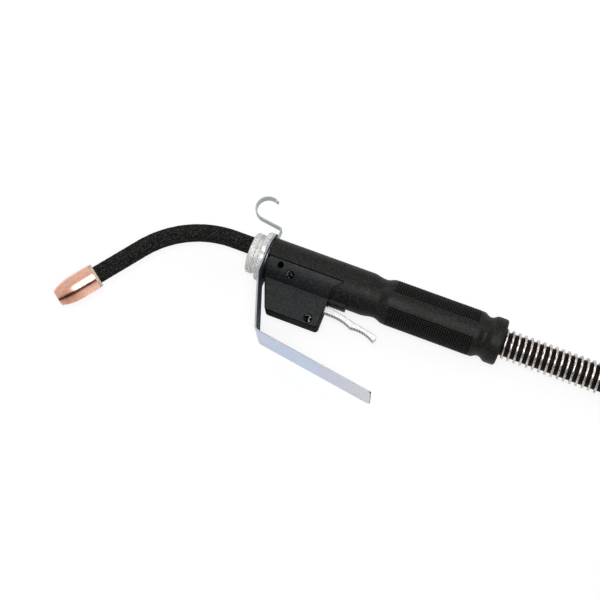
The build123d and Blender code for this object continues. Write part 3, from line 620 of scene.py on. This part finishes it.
def cableRoute():
    # a turn low outside and one low inside, then one above each of them
    outer = cable["outerTurn"]
    spacing = cable["spacing"]
    lowTurn = cable["lowTurn"]
    exitX = cable["exitX"]
    firstRest, secondRest = cable["restPoints"]
    route = [gun(exitX, 0, 0), gun(firstRest, 0, 0), gun(secondRest, 0, lowTurn)]
    step = 360 / cable["pointsPerTurn"]
    outwardsBy = 1 / math.cos(math.radians(step / 2))   # the smooth line runs inside its control points
    for k in range(round(cable["turns"] * cable["pointsPerTurn"])):
        angle = 90 - step * (k + 0.5)
        inside = changed("inwards", -angle) - changed("outwards", -angle)
        radius = (outer - spacing * inside) * outwardsBy
        height = spacing * (changed("rises", -angle) - 0.5)
        turn = math.radians(angle)
        route.append(coilCentre + Vector((radius * math.cos(turn), radius * math.sin(turn), height)))
    for share, up in cable["plugRun"]:
        height = cable["plugHeight"] * (1 - up) + (lowTurn + spacing) * up
        route.append(gun(cable["coilX"] - share * cable["bootAhead"], -2 * outer, height))
    return route


def makeCable():
    data = bpy.data.curves.new("gunCable", "CURVE")
    data.dimensions = "3D"
    route = cableRoute()
    spline = data.splines.new("NURBS")
    spline.points.add(len(route) - 1)
    for point, place in zip(spline.points, route):
        point.co = (*place, 1.0)
    spline.order_u = 3
    spline.use_endpoint_u = True
    data.bevel_depth = cable["diameter"] / 2
    data.bevel_resolution = 10
    data.resolution_u = 8
    data.use_fill_caps = True
    made = bpy.data.objects.new("gunCable", data)
    scene.collection.objects.link(made)
    made.data.materials.append(finishes["cableJacket"])
    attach(made, "gun")
    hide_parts("gun_cable", "cable_coil", "cable_tail")
    return made


cablePiece = makeCable()
print("cable routed")

# ties round the coil's four strands, each with a tab on its outer side
tie = {"angles": (20, -52, 155), "width": 0.016, "sheet": 0.001, "away": 0.0008, "cornerSegments": 8,
       "tabLength": 0.024, "tabSheet": 0.0009, "tabShare": 0.94, "tabOverlap": 0.0001, "tabCorner": 0.003,
       "softEdge": 0.00025}


def makeStrap(reach):
    # an upright square with rounded corners, of which only the outline is kept and drawn out to the width
    deselectAll()
    bpy.ops.mesh.primitive_plane_add(size=cable["spacing"] + 2 * reach, location=(0, 0, 0),
                                     rotation=(math.pi / 2, 0, 0))
    strap = bpy.context.object
    settle(strap)
    editAll(strap)
    bpy.ops.mesh.bevel(offset=reach, segments=tie["cornerSegments"], affect="VERTICES")
    bpy.ops.mesh.select_all(action="SELECT")
    bpy.ops.mesh.delete(type="ONLY_FACE")
    bpy.ops.mesh.select_all(action="SELECT")
    bpy.ops.mesh.extrude_region_move(TRANSFORM_OT_translate={"value": (0, tie["width"], 0)})
    closeSeams()
    bpy.ops.transform.translate(value=(0, -tie["width"] / 2, 0))
    stopEditing()
    wall = strap.modifiers.new("wall", "SOLIDIFY")
    wall.thickness = tie["sheet"]
    wall.offset = 1
    applyAll(strap)
    return strap


def makeTie(number, angle):
    reach = cable["diameter"] / 2 + tie["away"]
    strap = makeStrap(reach)
    outside = cable["spacing"] / 2 + reach + tie["sheet"]
    tab = addBox((tie["tabSheet"], tie["width"] * tie["tabShare"], tie["tabLength"]),
                 (outside + tie["tabSheet"] / 2 - tie["tabOverlap"], 0, 0))
    # the tab's edges across its sheet are picked by their points and bevelled, which rounds its corners
    selectEdges(tab, lambda a, b: abs(a.x - b.x) > tie["tabSheet"] / 2)
    bpy.ops.mesh.bevel(offset=tie["tabCorner"], segments=5, affect="EDGES")
    stopEditing()
    made = joined(strap, tab)
    softenEdges(made, tie["softEdge"])
    place = Matrix.Translation(coilCentre) @ Matrix.Rotation(math.radians(angle), 4, "Z")
    settle(made, place @ Matrix.Translation((cable["outerTurn"] - cable["spacing"] / 2, 0, 0)))
    replaced = ("coil_ties",) if number == 0 else ()
    return finishPiece(made, f"coilTie{number}", finishes["loopFabric"], replaced)


tiePieces = [makeTie(number, angle) for number, angle in enumerate(tie["angles"])]
print("ties made:", len(tiePieces))

# plug's rubber boot; groove is the dip between two ribs: how far along, and the share of its depth
boot = {"length": 0.032, "front": 0.0116, "middle": 0.0150, "rear": 0.0195, "middleShare": 0.7,
        "rearShare": 0.93, "chamfer": 0.0008, "rearDrop": 0.0006, "ribs": 4, "ribStart": 0.004,
        "ribbedShare": 0.66, "ribDepth": 0.0009, "steps": 64,
        "groove": ((0, 0), (0.0006, 0.8), (0.0014, 1), (0.0022, 0.8), (0.0028, 0))}


def bootOutline():
    length = boot["length"]
    ribbed = length * boot["ribbedShare"]
    chamfer = boot["chamfer"]
    outline = [(0, 0), (0, boot["front"] - chamfer), (-chamfer, boot["front"])]
    for k in range(boot["ribs"]):
        start = boot["ribStart"] + (ribbed - boot["ribStart"]) / boot["ribs"] * k
        radius = boot["front"] + (boot["middle"] - boot["front"]) * start / ribbed
        outline += [(-start - ahead, radius - boot["ribDepth"] * drop) for ahead, drop in boot["groove"]]
    outline += [(-length * boot["middleShare"], boot["middle"]),
                (-length * boot["rearShare"], boot["rear"] - boot["rearDrop"]),
                (-length, boot["rear"]), (-length, 0)]
    return [Vector((along, 0, radius)) for along, radius in outline]


def makeBoot():
    # the outline is extruded point by point, in vertex mode, then spun round the plug's axis
    deselectAll()
    bpy.ops.mesh.primitive_plane_add(size=1, location=(0, 0, 0))
    made = bpy.context.object
    editAll(made)
    bpy.ops.mesh.select_mode(type="VERT")
    bpy.ops.mesh.merge(type="CENTER")
    outline = bootOutline()
    for last, point in zip(outline, outline[1:]):
        bpy.ops.mesh.extrude_vertices_move(TRANSFORM_OT_translate={"value": point - last})
    bpy.ops.mesh.select_all(action="SELECT")
    bpy.ops.mesh.spin(steps=boot["steps"], angle=2 * math.pi, center=(0, 0, 0), axis=(1, 0, 0))
    closeSeams()
    stopEditing()
    front = gun(cable["coilX"] - cable["bootAhead"], -2 * cable["outerTurn"], cable["plugHeight"])
    settle(made, Matrix.Translation(front))
    return finishPiece(made, "plugBoot", finishes["softRubber"], ("connector_boot",), 50)


bootPiece = makeBoot()

# woven sleeve on the gooseneck: a straight start, one bend, a straight end
neck = {"radius": 0.0076, "offset": 0.0054, "start": -0.0052, "bendStart": -0.034, "bendRadius": 0.090,
        "bendDegrees": 54, "lastRun": 0.0449, "sides": 144, "rows": 130, "weaveRelief": 0.00024}


def weaveHeight(around, along):
    around *= weave["cellsAround"]
    along *= weave["cellsAlong"]
    crossing = math.sin(math.pi * around) * math.sin(math.pi * along)
    return abs(math.sin(math.pi * (around + along if crossing > 0 else around - along)))


def neckStations():
    # each station of the neck's line with its handles before and after it
    bend = math.radians(neck["bendDegrees"])
    radius = neck["bendRadius"]
    back = Vector((-1, 0, 0))
    down = Vector((-math.cos(bend), -math.sin(bend), 0))
    start = gun(neck["start"], neck["offset"])
    bendStart = gun(neck["bendStart"], neck["offset"])
    bendEnd = bendStart + Vector((-radius * math.sin(bend), -radius * (1 - math.cos(bend)), 0))
    end = bendEnd + down * neck["lastRun"]
    firstThird = (bendStart - start).length / 3
    lastThird = neck["lastRun"] / 3
    reach = 4 / 3 * math.tan(bend / 4) * radius     # handles that make the bend an arc
    return [(start, start - back * firstThird, start + back * firstThird),
            (bendStart, bendStart - back * firstThird, bendStart + back * reach),
            (bendEnd, bendEnd - down * reach, bendEnd + down * lastThird),
            (end, end - down * lastThird, end + down * lastThird)]


def makeNeckSleeve():
    stations = neckStations()
    data = bpy.data.curves.new("neckSleeve", "CURVE")
    data.dimensions = "3D"
    spline = data.splines.new("BEZIER")
    spline.bezier_points.add(len(stations) - 1)
    for point, (place, before, after) in zip(spline.bezier_points, stations):
        point.co = place
        point.handle_left_type = point.handle_right_type = "FREE"
        point.handle_left = before
        point.handle_right = after
    data.resolution_u = neck["rows"]
    data.bevel_depth = neck["radius"]
    data.bevel_resolution = (neck["sides"] - 4) // 2
    data.use_fill_caps = True
    made = bpy.data.objects.new("neckSleeve", data)
    scene.collection.objects.link(made)
    workOn(made)
    bpy.ops.object.convert(target="MESH")
    made = bpy.context.object
    mesh = made.data
    flat = {}
    for loop, spot in zip(mesh.loops, mesh.uv_layers[0].data):
        flat[loop.vertex_index] = spot.uv
    normals = [point.normal.copy() for point in mesh.vertices]
    for point, normal in zip(mesh.vertices, normals):
        point.co += normal * neck["weaveRelief"] * weaveHeight(*flat[point.index])
    return finishPiece(made, "neckSleeve", finishes["wovenSleeve"], ("neck_sleeve",), 180)


makeNeckSleeve()
print("woven sleeve made")


def makeGripStuds(name, low, high):
    # one stud, repeated along the handle, then turned round it
    deselectAll()
    bpy.ops.mesh.primitive_ico_sphere_add(subdivisions=1, radius=1, location=(0, 0, 0))
    stud = bpy.context.object
    stud.scale = (grip["studWidth"] / 2, grip["studWidth"] / 2, grip["studHeight"] / 2)
    stud.location = (grip["start"], 0, grip["radius"] - grip["studHeight"] / 2 + grip["rise"] * 2)
    settle(stud)
    row = stud.modifiers.new("row", "ARRAY")
    row.use_relative_offset = False
    row.use_constant_offset = True
    row.constant_offset_displace = (grip["pitch"], 0, 0)
    row.count = int((grip["end"] - grip["start"]) / grip["pitch"]) + 1
    applyAll(stud)
    settle(stud, Matrix.Rotation(math.radians(-low), 4, "X"))
    sweepAngle = math.radians(high - low)
    steps = round(sweepAngle * grip["radius"] / grip["pitch"])
    editAll(stud)
    bpy.ops.mesh.spin(steps=steps, dupli=True, angle=sweepAngle, center=(0, 0, 0), axis=(1, 0, 0))
    stopEditing()
    settle(stud, Matrix.Translation(gunOrigin))
    return finishPiece(stud, name, finishes["gripBlack"], (), 180)


# over and under, with a plain band left along each side
for name, zone in grip["zones"].items():
    makeGripStuds(name, *zone)
print("grip studs made")

# two milled flats on the collar's flange, turned in degrees from the gun's left side
flat = {"turns": (-2, -20), "middle": -0.0020, "size": (0.0034, 0.0042, 0.0008), "top": 0.02215,
        "softEdge": 0.0002}


def makeFlat(turn):
    pad = addBox(flat["size"])
    place = Matrix.Translation(gun(flat["middle"], 0)) @ Matrix.Rotation(math.radians(-turn), 4, "X")
    settle(pad, place @ Matrix.Translation((0, 0, flat["top"] - flat["size"][2] / 2)))
    softenEdges(pad, flat["softEdge"])
    return pad


pads = [makeFlat(turn) for turn in flat["turns"]]
finishPiece(joined(*pads), "collarFlats", finishes["millFlat"])
print("collar flats made")

# room: a pale floor that is white to the camera and to reflections, but keeps the shadow
room = {"floorSize": 60.0, "floorColour": (0.80, 0.80, 0.80, 1), "whiteShare": 0.8, "ambient": 0.5,
        "mirrored": 0.82, "cardColour": (0.02, 0.02, 0.02, 1)}


def dullFinish(name, colour, roughness):
    return Finish(name, {"Base Color": colour, "Roughness": roughness, "Specular IOR Level": 0.0})


def makeFloor():
    deselectAll()
    bpy.ops.mesh.primitive_plane_add(size=room["floorSize"], location=(0, 0, 0))
    floor = bpy.context.object
    floor.name = "paleFloor"
    pale = dullFinish("paleFloor", room["floorColour"], 0.9)
    plain = Signal(pale, pale.shader.outputs[0])
    glow = pale.node("ShaderNodeEmission", {}, {})
    seen = pale.math("MAXIMUM", pale.rays("Is Camera Ray"), pale.rays("Is Glossy Ray"))
    mixed = pale.node("ShaderNodeMixShader", {}, {0: seen * room["whiteShare"], 1: plain, 2: glow})
    pale.feed(pale.tree.nodes["Material Output"].inputs["Surface"], mixed)
    floor.data.materials.append(pale.material)


def makeBackground():
    world = bpy.data.worlds.new("studio")
    world.use_nodes = True
    scene.world = world
    sky = Wiring(world.node_tree)
    background = sky.tree.nodes["Background"]
    background.inputs["Color"].default_value = (1, 1, 1, 1)
    lit = sky.spread(sky.rays("Is Glossy Ray"), 0.0, 1.0, room["ambient"], room["mirrored"])
    seen = sky.math("MAXIMUM", sky.rays("Is Camera Ray"), sky.rays("Is Transmission Ray"))
    sky.feed(background.inputs["Strength"], sky.spread(seen, 0.0, 1.0, lit, 1.0))


# each light: direction it comes from, distance, size, watts, and the direction its second side lies along
neckLine = (-0.588, -0.809, 0)
lights = {
    "softbox": {"from": (0.154, -0.216, 0.952), "distance": 1.3, "size": (0.78, 0.32), "power": 14,
                "along": neckLine},
    "sideLight": {"from": (0.9, 0.5, 0.8), "distance": 1.6, "size": (0.8, 0.8), "power": 6,
                  "along": (0, 1, 0)},
    "farLight": {"from": (-0.7, 0.9, 0.7), "distance": 1.6, "size": (1.0, 0.5), "power": 6,
                 "along": (0, 1, 0)},
}
# a black card beside the softbox, seen only in reflections
card = {"from": (0.510, -0.551, 0.647), "distance": 1.2, "size": (0.76, 3.0), "along": neckLine}
lightsAim = gun(0.02, -0.03, 0)


def facing(facts):
    outwards = Vector(facts["from"]).normalized()
    along = Vector(facts["along"])
    along = (along - along.dot(outwards) * outwards).normalized()
    place = Matrix((along.cross(outwards), along, outwards)).transposed().to_4x4()
    place.translation = lightsAim + outwards * facts["distance"]
    return place


def makeLights():
    for name, facts in lights.items():
        data = bpy.data.lights.new(name, "AREA")
        data.shape = "RECTANGLE"
        data.size, data.size_y = facts["size"]
        data.energy = facts["power"]
        made = bpy.data.objects.new(name, data)
        scene.collection.objects.link(made)
        made.matrix_world = facing(facts)


def makeCard():
    deselectAll()
    bpy.ops.mesh.primitive_plane_add(size=1, location=(0, 0, 0))
    made = bpy.context.object
    made.name = "blackCard"
    made.matrix_world = facing(card) @ Matrix.Diagonal((*card["size"], 1, 1))
    made.data.materials.append(dullFinish("blackCard", room["cardColour"], 1.0).material)
    made.visible_camera = False
    made.visible_diffuse = False
    made.visible_shadow = False


makeFloor()
makeBackground()
makeLights()
makeCard()
print("room made")
